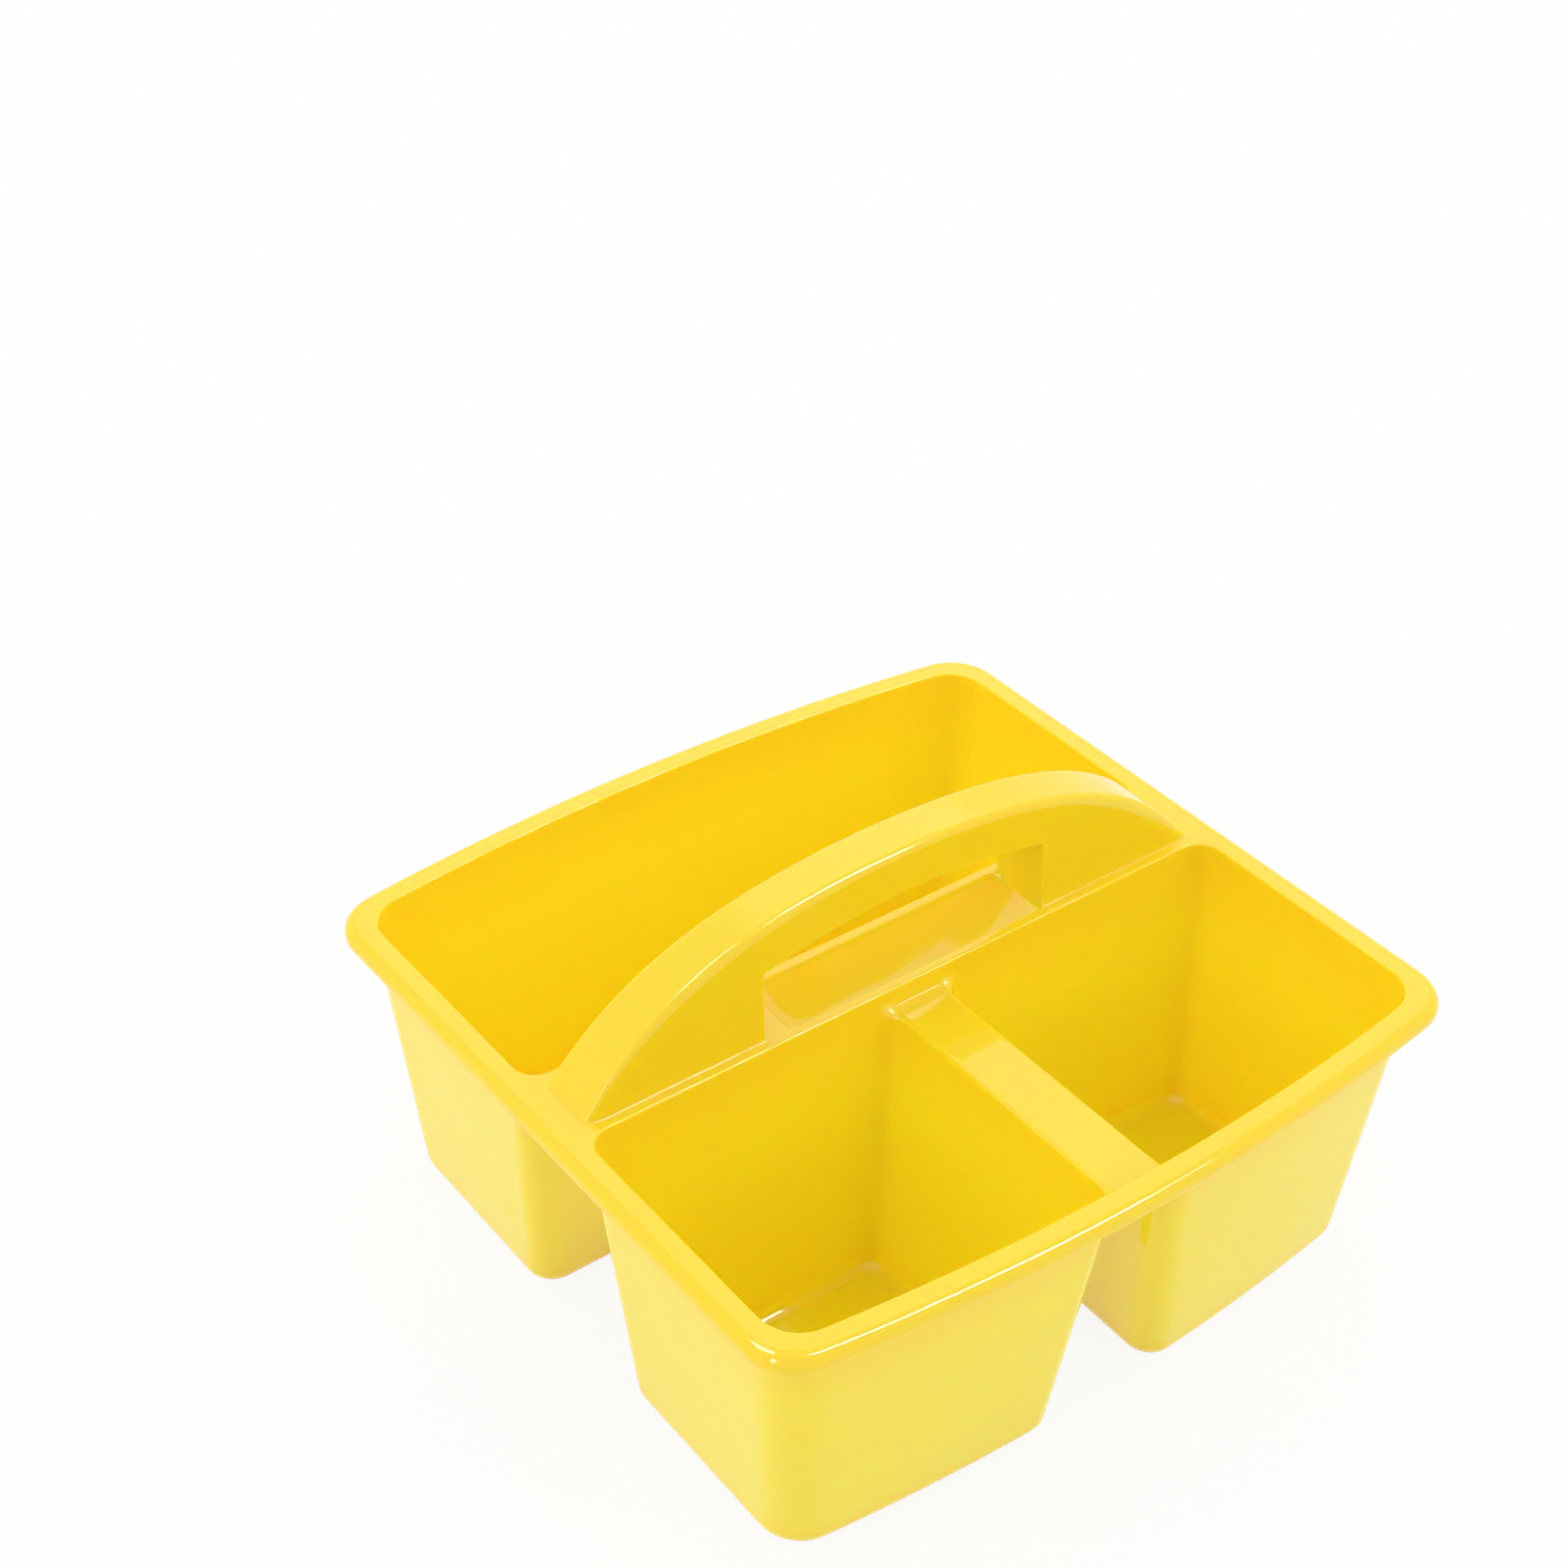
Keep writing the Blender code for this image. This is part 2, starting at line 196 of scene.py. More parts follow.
def draw_ring(name, points):
    """A closed ring, ready to extrude: a circle with its points laid on an outline."""
    clear_selection()
    bpy.ops.mesh.primitive_circle_add(vertices=len(points), radius=RIM_HALF_X, location=(0, 0, 0))
    obj = bpy.context.object
    obj.name = obj.data.name = name
    number_points(obj, points)
    bpy.ops.object.mode_set(mode="EDIT")
    bpy.ops.mesh.select_all(action="SELECT")
    return obj


def extrude_rings(sections):
    """Extrude the selected ring through these outlines, one after another."""
    mesh = bpy.context.object.data
    for points in sections:
        bpy.ops.mesh.extrude_region_move()
        bm = bmesh.from_edit_mesh(mesh)
        number = bm.verts.layers.int["number"]
        for vert in bm.verts:
            if vert.select:
                vert.co = points[vert[number]]
        bmesh.update_edit_mesh(mesh)


def draw_grid(name, rows):
    """A sheet of quads: a grid with its points laid in rows."""
    clear_selection()
    across, along = len(rows[0]) - 1, len(rows) - 1
    bpy.ops.mesh.primitive_grid_add(x_subdivisions=across, y_subdivisions=along, size=RIM_HALF_X)
    obj = bpy.context.object
    obj.name = obj.data.name = name
    number_points(obj, [at for row in rows for at in row])
    return obj


def join(name, sheets):
    """Several sheets as one, welded where they meet."""
    clear_selection()
    for obj in sheets:
        obj.select_set(True)
    bpy.context.view_layer.objects.active = sheets[0]
    bpy.ops.object.join()
    obj = bpy.context.object
    obj.name = obj.data.name = name
    bpy.ops.object.mode_set(mode="EDIT")
    bpy.ops.mesh.select_all(action="SELECT")
    bpy.ops.mesh.remove_doubles(threshold=WELD)
    bpy.ops.object.mode_set(mode="OBJECT")
    return obj


def select_edges(obj, wanted):
    """In edit mode, select the edges that have both ends where wanted says."""
    bpy.ops.object.mode_set(mode="EDIT")
    bpy.ops.mesh.select_mode(type="EDGE")
    bpy.ops.mesh.select_all(action="DESELECT")
    bm = bmesh.from_edit_mesh(obj.data)
    for edge in bm.edges:
        edge.select_set(all(wanted(vert.co) for vert in edge.verts))
    bmesh.update_edit_mesh(obj.data)


def near_any(places, keys):
    """A test for points that lie on one of the places, by the coordinates in keys."""
    known = {tuple(round(at[k] / NEAR) for k in keys) for at in places}

    def wanted(co):
        spot = [co[k] / NEAR for k in keys]
        low = [math.floor(s) for s in spot]
        options = [(a, b) for a in (low[0], low[0] + 1) for b in (low[1], low[1] + 1)]
        return any(option in known for option in options)

    return wanted


def face_up(obj, spot):
    """Turn the sheet so that the face nearest to spot looks up."""
    clear_selection()
    obj.select_set(True)
    bpy.context.view_layer.objects.active = obj
    bpy.ops.object.mode_set(mode="EDIT")
    bpy.ops.mesh.select_all(action="SELECT")
    bpy.ops.mesh.normals_make_consistent(inside=False)
    bpy.ops.object.mode_set(mode="OBJECT")
    nearest = min(obj.data.polygons, key=lambda face: (face.center - Vector(spot)).length)
    if nearest.normal.z < 0:
        bpy.ops.object.mode_set(mode="EDIT")
        bpy.ops.mesh.select_all(action="SELECT")
        bpy.ops.mesh.flip_normals()
        bpy.ops.object.mode_set(mode="OBJECT")


def apply_modifier(obj, kind, **settings):
    clear_selection()
    obj.select_set(True)
    bpy.context.view_layer.objects.active = obj
    made = obj.modifiers.new(kind.title(), kind)
    for name, value in settings.items():
        setattr(made, name, value)
    bpy.ops.object.modifier_apply(modifier=made.name)


def give_wall(obj, spot):
    """Thicken the sheet downwards or outwards, away from the side that is seen."""
    face_up(obj, spot)
    apply_modifier(
        obj, "SOLIDIFY", thickness=WALL, offset=-1,
        use_even_offset=True, use_quality_normals=True, use_rim=True,
    )


def bevel_edges(obj, wanted, width, segments):
    select_edges(obj, wanted)
    bpy.ops.mesh.bevel(offset=width, segments=segments, affect="EDGES", clamp_overlap=True)
    bpy.ops.object.mode_set(mode="OBJECT")


def smooth_faces(obj):
    clear_selection()
    obj.select_set(True)
    bpy.context.view_layer.objects.active = obj
    bpy.ops.object.shade_smooth_by_angle(angle=SMOOTH_ANGLE)
    apply_modifier(obj, "WEIGHTED_NORMAL", mode="FACE_AREA", weight=50, keep_sharp=True)


# Walls of the tubs, by height

def depth_in(draft, z):
    return draft * (RIM_TOP - z)


def edge_round():
    """The rolled edge of an opening, from the land to the wall: (move into the opening, height)."""
    slant = math.hypot(1, DRAFT_OUTER)
    centre = -OPENING_ROUND * (slant - DRAFT_OUTER)
    found = [(centre - SUPPORT, RIM_TOP)]
    turn = 90 - math.degrees(math.atan(DRAFT_OUTER))
    for along, up in arc(centre, RIM_TOP - OPENING_ROUND, OPENING_ROUND, 90, 90 - turn, ROUND_STEPS):
        found.append((along, up))
    return found


def floor_round():
    """The round between wall and floor: (inset, height), from the wall down."""
    found = []
    for i in range(ROUND_STEPS + 1):
        angle = math.radians(90 * i / ROUND_STEPS)
        found.append((FLOOR_ROUND * (1 - math.cos(angle)), WALL + FLOOR_ROUND * (1 - math.sin(angle))))
    found.append((FLOOR_ROUND + SUPPORT, WALL))
    return found


def rear_ring(outer, slot, grow, z):
    half = OPENING_HALF_X - outer
    inner_round = OPENING_INNER_CORNER + grow
    outer_round = OPENING_OUTER_CORNER + grow
    plan = outline(
        -half, half, (DECK_HALF_Y + slot, None), bowed(RIM_HALF_Y, RIM_WIDTH + outer),
        (inner_round,) * 2, (outer_round,) * 2,
    )
    return at_height(plan, z)


def rear_wall_ring(z, inset=0.0):
    return rear_ring(depth_in(DRAFT_OUTER, z) + inset, depth_in(DRAFT_SLOT, z) + inset, -inset, z)


def front_edge(x, outer):
    return BOW_RADIUS - RIM_HALF_Y - math.sqrt((BOW_RADIUS - RIM_WIDTH - outer) ** 2 - x**2)


def divider_point(at, angle, end, inset=0.0):
    """A point of the divider's end round. at is (x, z, way out x, way out z, radius)."""
    x, z, way_x, way_z, radius = at
    turn = math.radians(angle)
    px = x + way_x * radius * (1 - math.cos(turn))
    pz = z + way_z * radius * (1 - math.cos(turn))
    gap = radius * (1 - math.sin(turn))
    if end == "back":
        return (px, -DECK_HALF_Y - depth_in(DRAFT_SLOT, pz) - inset - gap, pz)
    return (px, front_edge(px, depth_in(DRAFT_OUTER, pz) + inset) + gap, pz)


def divider_side(z, inset=0.0):
    x = -DIVIDER_HALF_X - depth_in(DRAFT_DIVIDER, z) - inset
    return (x, z, -1.0, 0.0, OPENING_INNER_CORNER - inset)


def divider_section():
    """Across the divider from left to right: up the side, over the rounded edge and along the flat."""
    lean_angle = math.degrees(math.atan(DRAFT_DIVIDER))
    top_z = SADDLE_TOP - SADDLE_ROUND
    touch_z = top_z + SADDLE_ROUND * math.sin(math.radians(lean_angle))
    touch_x = divider_side(touch_z)[0]
    top_x = touch_x + SADDLE_ROUND * math.cos(math.radians(lean_angle))
    left = [divider_side(SEAM_Z), divider_side(touch_z - SADDLE_SUPPORT)]
    for i in range(ROUND_STEPS + 1):
        share = i / ROUND_STEPS
        angle = math.radians(180 - lean_angle - (90 - lean_angle) * share)
        way = math.radians(90 * share)
        eased = share * share * (3 - 2 * share)
        radius = OPENING_INNER_CORNER + (SADDLE_END_ROUND - OPENING_INNER_CORNER) * eased
        left.append((
            top_x + SADDLE_ROUND * math.cos(angle), top_z + SADDLE_ROUND * math.sin(angle),
            -math.cos(way), math.sin(way), radius,
        ))
    left.append((top_x + SADDLE_SUPPORT, SADDLE_TOP, 0.0, 1.0, SADDLE_END_ROUND))
    return left + [(-x, z, -way_x, way_z, radius) for x, z, way_x, way_z, radius in reversed(left)]


DIVIDER = divider_section()
END_ANGLES = [90 * i / CORNER_STEPS for i in range(CORNER_STEPS + 1)]


def crossing_x():
    """Where the well's edge is divided above the divider, spread a little at the ends."""
    ends = [divider_point(at, 90, "back")[0] for at in DIVIDER]
    half = len(ends) // 2
    left = [ends[i] - CROSSING_SPREAD * (1 - i / (half - 1)) ** 2 for i in range(half)]
    return left + [-x for x in reversed(left)]


CROSSING = crossing_x()


def bow_between(x0, x1, outer, z):
    """Points of the bowed front edge between two places, without the ends."""
    found = []
    for i in range(1, BOW_STEPS):
        x = x0 + (x1 - x0) * i / BOW_STEPS
        found.append((x, front_edge(x, outer), z))
    return found


def front_left_corners(outer, slot, grow, z):
    """The round at the front left, and the one at the back left."""
    half = OPENING_HALF_X - outer
    near = OPENING_OUTER_CORNER + grow
    far = OPENING_INNER_CORNER + grow
    ax, ay, a_end = edge_corner(-half, *bowed(-RIM_HALF_Y, RIM_WIDTH + outer), near, -1, -1)
    front = at_height(arc(ax, ay, near, 180, a_end % 360, CORNER_STEPS), z)
    back = at_height(arc(far - half, -DECK_HALF_Y - slot - far, far, 90, 180, CORNER_STEPS), z)
    return front, back


def mirrored(points):
    return [(-x, y, z) for x, y, z in reversed(points)]


def well_ring(outer, slot, grow, z, front_row=None, back_row=None):
    """Outline of the front well, anticlockwise. The rows cross the divider from left to right."""
    front, back = front_left_corners(outer, slot, grow, z)
    front_row = front_row or [(x, front_edge(x, outer), z) for x in CROSSING]
    back_row = back_row or [(x, -DECK_HALF_Y - slot, z) for x in CROSSING]
    bow = bow_between(front[-1][0], front_row[0][0], outer, z)
    found = front + bow + front_row + mirrored(bow) + mirrored(front)
    return found + mirrored(back) + back_row[::-1] + back


def front_left_ring(z, inset=0.0):
    """Outline of the front left tub, anticlockwise from its left side."""
    outer = depth_in(DRAFT_OUTER, z) + inset
    slot = depth_in(DRAFT_SLOT, z) + inset
    front, back = front_left_corners(outer, slot, -inset, z)
    side = divider_side(z, inset)
    front_end = [divider_point(side, angle, "front", inset) for angle in reversed(END_ANGLES)]
    back_end = [divider_point(side, angle, "back", inset) for angle in END_ANGLES]
    bow = bow_between(front[-1][0], front_end[0][0], outer, z)
    return front + bow + front_end + back_end + back


# Tubs

def tub(name, ring):
    obj = draw_ring(name, ring(SEAM_Z))
    extrude_rings([ring(z, inset) for inset, z in floor_round()])
    bpy.ops.mesh.edge_face_add()
    bpy.ops.object.mode_set(mode="OBJECT")
    return obj


rear_tub = tub("rear_tub_shell", rear_wall_ring)
front_left_tub = tub("front_left_tub_shell", front_left_ring)
front_right_tub = front_left_tub.copy()
front_right_tub.data = front_left_tub.data.copy()
front_right_tub.name = front_right_tub.data.name = "front_right_tub_shell"
bpy.context.scene.collection.objects.link(front_right_tub)
clear_selection()
front_right_tub.select_set(True)
bpy.context.view_layer.objects.active = front_right_tub
bpy.ops.object.mode_set(mode="EDIT")
bpy.ops.mesh.select_all(action="SELECT")
bpy.ops.transform.mirror(constraint_axis=(True, False, False), center_override=(0, 0, 0))
bpy.ops.object.mode_set(mode="OBJECT")


# Divider with the saddle on it

def divider_rows():
    rows = []
    for at in DIVIDER:
        row = [divider_point(at, angle, "front") for angle in reversed(END_ANGLES)]
        row += [divider_point(at, angle, "back") for angle in END_ANGLES]
        rows.append(row)
    return rows


saddle_rows = divider_rows()
saddle = draw_grid("divider_saddle_shell", saddle_rows)


# Handle: a hollow arch on the deck

def arch(x):
    u = x / HANDLE_HALF_X
    sixth = 1 - ARCH_SQUARE - ARCH_FOURTH
    return RIM_TOP + HANDLE_RISE * (1 - ARCH_SQUARE * u**2 - ARCH_FOURTH * u**4 - sixth * u**6)


def arch_slope(x):
    return (arch(x + SLOPE_STEP) - arch(x - SLOPE_STEP)) / (2 * SLOPE_STEP)


def web_half(z):
    return HANDLE_HALF_Y - HANDLE_DRAFT * (z - RIM_TOP)


def strap_point(x, turn, extra):
    """A point of the handle's front half. turn is 0 on the flat and 90 at the web; extra goes past either."""
    share = min(abs(x) / HANDLE_HALF_X, 1.0) ** 2
    round_y = STRAP_EDGE_CROWN + (STRAP_EDGE_LEG_Y - STRAP_EDGE_CROWN) * share
    round_depth = STRAP_EDGE_CROWN + (STRAP_EDGE_LEG_DEPTH - STRAP_EDGE_CROWN) * share
    facing = math.radians(turn)
    angle = math.atan2(round_y * math.sin(facing), round_depth * math.cos(facing))
    depth = round_depth * (1 - math.cos(angle)) + (extra if turn else 0.0)
    slope = arch_slope(x)
    length = math.hypot(1, slope)
    px = x + depth * slope / length
    pz = arch(x) - depth / length
    py = web_half(pz) - round_y * (1 - math.sin(angle)) - (0.0 if turn else extra)
    return (px, -py, pz)


def base_turn(x, turn):
    """Way out from the handle in plan, and how steep its side is, at the foot of a line along the strap."""
    slope = arch_slope(x)
    length = math.hypot(1, slope)
    angle = math.radians(turn)
    tall = math.hypot(1, HANDLE_DRAFT)
    out = Vector((-slope / length * math.cos(angle), -math.sin(angle) / tall, 0))
    rise = math.cos(angle) / length + math.sin(angle) * HANDLE_DRAFT / tall
    return out.normalized(), math.atan2(out.length, rise)


def strap_foot(turn, extra):
    """x, way out, steepness and fillet where a line along the strap ends over the deck."""
    fillet = STRAP_FILLET + (WEB_FILLET - STRAP_FILLET) * math.sin(math.radians(turn)) ** 2
    near, far = HANDLE_HALF_X / 2, HANDLE_HALF_X * FOOT_REACH
    for _ in range(FOOT_TRIES):
        middle = (near + far) / 2
        out, steep = base_turn(middle, turn)
        start = fillet * math.tan(steep / 2) * math.sin(steep)
        if strap_point(middle, turn, extra)[2] > RIM_TOP + start:
            near = middle
        else:
            far = middle
    return near, *base_turn(near, turn), fillet


STRAP_LINES = [(90.0, SUPPORT)]
STRAP_LINES += [(90.0 - 90.0 * i / EDGE_STEPS, 0.0) for i in range(EDGE_STEPS + 1)]
STRAP_LINES += [(0.0, SUPPORT)]
strap_rows = []
feet = []
for turn, extra in STRAP_LINES:
    reach, out, steep, fillet = strap_foot(turn, extra)
    row = []
    for i in range(ARCH_STEPS + 1):
        row.append(strap_point(reach * math.sin(math.pi / 2 * (2 * i / ARCH_STEPS - 1)), turn, extra))
    strap_rows.append(row)
    feet.append((Vector(row[-1]), out, steep, fillet))
across = [[(x, -y, z) for x, y, z in row] for row in reversed(strap_rows)]
strap = draw_grid("handle_shell", strap_rows + across)

# Foot of a leg: the fillet that runs from the hand hole round the strap's end and back
web_foot = feet[0][0]
hole_foot = Vector((HOLE_HALF_X, web_foot.y, web_foot.z))
front_chain = [(hole_foot, *feet[0][1:])] + feet
FLIP_Y = Matrix.Diagonal((1, -1, 1))
FLIP_X = Matrix.Diagonal((-1, 1, 1))
chain = front_chain + [(FLIP_Y @ at, FLIP_Y @ out, *rest) for at, out, *rest in reversed(front_chain)]


def foot_rows():
    rows = []
    up = Vector((0, 0, 1))
    for i in range(ROUND_STEPS + 2):
        row = []
        for at, out, steep, fillet in chain:
            reach = fillet * math.tan(steep / 2)
            base = at + reach * (math.cos(steep) * out - math.sin(steep) * up)
            turn = steep * max(1 - i / ROUND_STEPS, 0.0)
            if i <= ROUND_STEPS:
                along = reach - fillet * math.sin(turn)
            else:
                along = reach + SUPPORT
            row.append(base + along * out + fillet * (1 - math.cos(turn)) * up)
        rows.append(row)
    rows[0] = [at for at, *_ in chain]
    return rows


right_rows = foot_rows()
left_rows = [[FLIP_X @ at for at in row] for row in right_rows]
right_foot = draw_grid("right_foot", right_rows)
left_foot = draw_grid("left_foot", left_rows)

# Sides of the handle, open at the hand hole down to the deck
hole_radius = (HOLE_HALF_X**2 + HOLE_CROWN**2) / (2 * HOLE_CROWN)
hole_plan = outline(
    -HOLE_HALF_X, HOLE_HALF_X, (RIM_TOP - HOLE_BELOW, None), (HOLE_TOP, hole_radius),
    (HOLE_CORNER,) * 2, (HOLE_CORNER,) * 2, ROUND_STEPS, HOLE_STEPS,
)
hole_edge = [(HOLE_HALF_X, web_foot.z)]
hole_edge += [at for at in hole_plan if at[1] > RIM_TOP + HOLE_CORNER]
hole_edge += [(-HOLE_HALF_X, web_foot.z)]


def web(name, side):
    edge = [(x, side * abs(y), z) for x, y, z in strap_rows[0]]
    hole = [(x, side * web_half(z), z) for x, z in hole_edge]
    hole[0] = (HOLE_HALF_X, side * abs(hole_foot.y), hole_foot.z)
    hole[-1] = (-HOLE_HALF_X, side * abs(hole_foot.y), hole_foot.z)
    obj = draw_ring(name, edge + hole)
    bpy.ops.mesh.edge_face_add()
    bpy.ops.object.mode_set(mode="OBJECT")
    return obj


front_web = web("front_web", -1)
rear_web = web("rear_web", 1)
handle = [strap, front_web, rear_web, left_foot, right_foot]


# Rim, land and deck: the rolled edge outside, the openings and the hole of the handle inside

def rim_ring(inward, drop):
    corner = RIM_CORNER + (OPENING_OUTER_CORNER - RIM_CORNER) * inward / RIM_WIDTH
    half = RIM_HALF_X - inward
    plan = outline(
        -half, half, bowed(-RIM_HALF_Y, inward), bowed(RIM_HALF_Y, inward), (corner,) * 2, (corner,) * 2
    )
    return at_height(plan, RIM_TOP + drop)


lip = [(0.0, -LIP_HEIGHT), (0.0, -LIP_HEIGHT + 2 * LIP_EDGE)]
lip += arc(LIP_ROUND, -LIP_ROUND, LIP_ROUND, 180, 90, LIP_STEPS)
lip += [(LIP_ROUND + SUPPORT, 0.0)]
lip_rings = [rim_ring(*at) for at in lip]
rim = draw_ring("rim", lip_rings[0])
extrude_rings(lip_rings[1:])

rear_rings = [rear_ring(move, move, -move, z) for move, z in edge_round()] + [rear_wall_ring(SEAM_Z)]
rear_edge = draw_ring("rear_edge", rear_rings[0])
extrude_rings(rear_rings[1:])

well_rings = [well_ring(move, move, -move, z) for move, z in edge_round()]
well_rings.append(well_ring(
    depth_in(DRAFT_OUTER, SEAM_Z), depth_in(DRAFT_SLOT, SEAM_Z), 0.0, SEAM_Z,
    [row[0] for row in saddle_rows], [row[-1] for row in saddle_rows],
))
well_edge = draw_ring("well_edge", well_rings[0])
extrude_rings(well_rings[1:])

sill_front = [(HOLE_HALF_X, -HANDLE_HALF_Y)]
sill_rear = arc(HOLE_HALF_X - SILL_CORNER, HANDLE_HALF_Y - SILL_CORNER, SILL_CORNER, 0, 90, ROUND_STEPS)
shelf = arc(
    HOLE_SHELF_X + HOLE_SHELF_CORNER, HANDLE_HALF_Y - HOLE_SHELF_CORNER, HOLE_SHELF_CORNER,
    90, 180, ROUND_STEPS,
)
shelf += [(x, -y) for x, y in reversed(shelf)]
sill = at_height(shelf + sill_front + sill_rear, RIM_TOP)
hole_loop = at_height(shelf + sill_front, RIM_TOP) + right_rows[-1] + at_height(sill_rear, RIM_TOP)
deck_hole = draw_ring("deck_hole", hole_loop)
deck_foot = draw_ring("deck_foot", left_rows[-1])
deck = join("deck", [rim, rear_edge, well_edge, deck_hole, deck_foot])
loops = [lip_rings[-1], rear_rings[0], well_rings[0], hole_loop, left_rows[-1]]
on_loops = near_any([at for loop in loops for at in loop], (0, 1))
select_edges(deck, lambda co: abs(co.z - RIM_TOP) < WELD and on_loops(co))
bpy.ops.mesh.fill(use_beauty=True)
bpy.ops.object.mode_set(mode="OBJECT")


# One moulding: the sheets are welded, and the wall goes on behind them

moulding = join("caddy_moulding", [deck, rear_tub, front_left_tub, front_right_tub, saddle, *handle])
give_wall(moulding, (0, -0.06, SADDLE_TOP))


def key(co):
    return tuple(round(c / WELD) for c in co)


def square_under(obj, pairs):
    """Lay the back of a rolled edge, which is tighter than the wall is thick, on one sharp line."""
    half = len(obj.data.vertices) // 2
    under = {}
    for vert in obj.data.vertices[:half]:
        under[key(vert.co)] = obj.data.vertices[half + vert.index]
    for front, back in pairs:
        under[key(front)].co = back


slant = math.hypot(1, DRAFT_OUTER)
back_move = WALL * (DRAFT_OUTER - slant)
rear_back = rear_ring(back_move, back_move, -back_move, RIM_TOP - WALL)
well_back = well_ring(back_move, back_move, -back_move, RIM_TOP - WALL)
pairs = []
for rings, backs in ((rear_rings[:-1], rear_back), (well_rings[:-1], well_back)):
    for ring in rings:
        pairs += zip(ring, backs)
square_under(moulding, pairs)
on_hole = near_any([(x, 0, z) for x, z in hole_edge], (0, 2))
bevel_edges(
    moulding, lambda co: on_hole(co) and abs(abs(co.y) - web_half(co.z)) < NEAR, HOLE_EDGE, HOLE_EDGE_STEPS
)
on_sill = near_any(sill, (0, 1))
bevel_edges(moulding, lambda co: abs(co.z - RIM_TOP) < NEAR and on_sill(co), SILL_EDGE, HOLE_EDGE_STEPS)
bevel_edges(moulding, lambda co: abs(co.z - RIM_TOP + LIP_HEIGHT) < NEAR, LIP_EDGE, LIP_EDGE_STEPS)
bpy.ops.object.mode_set(mode="EDIT")
bpy.ops.mesh.select_all(action="SELECT")
bpy.ops.mesh.remove_doubles(threshold=WELD)
bpy.ops.object.mode_set(mode="OBJECT")


# Walls at the ends of the hand hole

def jamb(name, side):
    clear_selection()
    low, high = RIM_TOP - WALL, JAMB_TOP
    bpy.ops.mesh.primitive_cube_add(size=1, location=(0, 0, 0))
    obj = bpy.context.object
    obj.name = obj.data.name = name
    bpy.ops.object.mode_set(mode="EDIT")
    bpy.ops.transform.resize(value=(WALL, 2 * (HANDLE_HALF_Y - WALL / 2), high - low))
    bpy.ops.transform.translate(value=(side * (HOLE_HALF_X + WALL / 2 + JAMB_GAP), 0, (low + high) / 2))
    bpy.ops.mesh.select_all(action="DESELECT")
    bm = bmesh.from_edit_mesh(obj.data)
    for vert in bm.verts:
        vert.select_set(vert.co.z > high - WELD)
    bmesh.update_edit_mesh(obj.data)
    narrow = web_half(high) / web_half(low)
    bpy.ops.transform.resize(value=(1, narrow, 1), center_override=(0, 0, 0))
    bpy.ops.mesh.select_all(action="SELECT")
    bpy.ops.mesh.bevel(offset=LIP_EDGE / 2, segments=2, affect="EDGES")
    bpy.ops.object.mode_set(mode="OBJECT")
    return obj


left_jamb = jamb("left_jamb_wall", -1)
right_jamb = jamb("right_jamb_wall", 1)

PIECES = (
    (moulding, (
        "rim", "handle_deck", "rear_tub", "front_left_tub", "front_right_tub", "divider_saddle",
        "handle_strap", "handle_front_web", "handle_rear_web",
    )),
    (left_jamb, ("hand_hole_left_jamb",)),
    (right_jamb, ("hand_hole_right_jamb",)),
)
for piece, _ in PIECES:
    smooth_faces(piece)


# Finish

class Shade:
    """A socket of a material's nodes that is reckoned with like a number."""

    def __init__(self, tree, socket=None):
        self.tree = tree
        self.socket = socket

    def feed(self, target, value):
        if isinstance(value, Shade):
            self.tree.links.new(value.socket, target)
        else:
            target.default_value = value

    def node(self, kind, settings=None, values=None, output=0):
        """A node of this type, with its settings first and then its sockets' values or links."""
        made = self.tree.nodes.new(kind)
        for name, value in (settings or {}).items():
            if name == "stops":
                ramp = made.color_ramp.elements
                while len(ramp) < len(value):
                    ramp.new(1.0)
                for element, (place, colour) in zip(ramp, value):
                    element.position = place
                    element.color = colour
            else:
                setattr(made, name, value)
        for name, value in (values or {}).items():
            self.feed(made.inputs[name], value)
        return Shade(self.tree, made.outputs[output] if made.outputs else None)

    def sum(self, operation, first, second):
        return self.node("ShaderNodeMath", {"operation": operation}, {0: first, 1: second})

    def __add__(self, other):
        return self.sum("ADD", self, other)

    def __radd__(self, other):
        return self.sum("ADD", other, self)

    def __sub__(self, other):
        return self.sum("SUBTRACT", self, other)

    def __rsub__(self, other):
        return self.sum("SUBTRACT", other, self)

    def __mul__(self, other):
        return self.sum("MULTIPLY", self, other)

    def __rmul__(self, other):
        return self.sum("MULTIPLY", other, self)


PLASTIC_IOR = 1.5
GLOW_DEPTH = 0.0025
GLOW_SPREAD = (1.0, 0.35, 0.06)
# Yellows by depth below the rim, painted light: greener down the walls to cancel the reddening of light
# bounced in the tubs, and redder again on the floors.
BOUNCE_PAINTED_YELLOWS = (
    (0.05, (0.900, 0.695, 0.020, 1.0)),
    (0.31, (0.880, 0.775, 0.024, 1.0)),
    (0.88, (0.880, 0.770, 0.024, 1.0)),
    (0.99, (0.920, 0.715, 0.015, 1.0)),
)
CLOUD_SCALE = 22.0
CLOUD_SHARE = 0.1
WAVE_SCALE = 34.0
WAVE_HEIGHT = 0.0006
SKIN_SCALE = 900.0
SKIN_HEIGHT = 0.000004
SCUFF_SCALE = 160.0
SMOOTHEST = 0.03
SCUFFED = 0.04


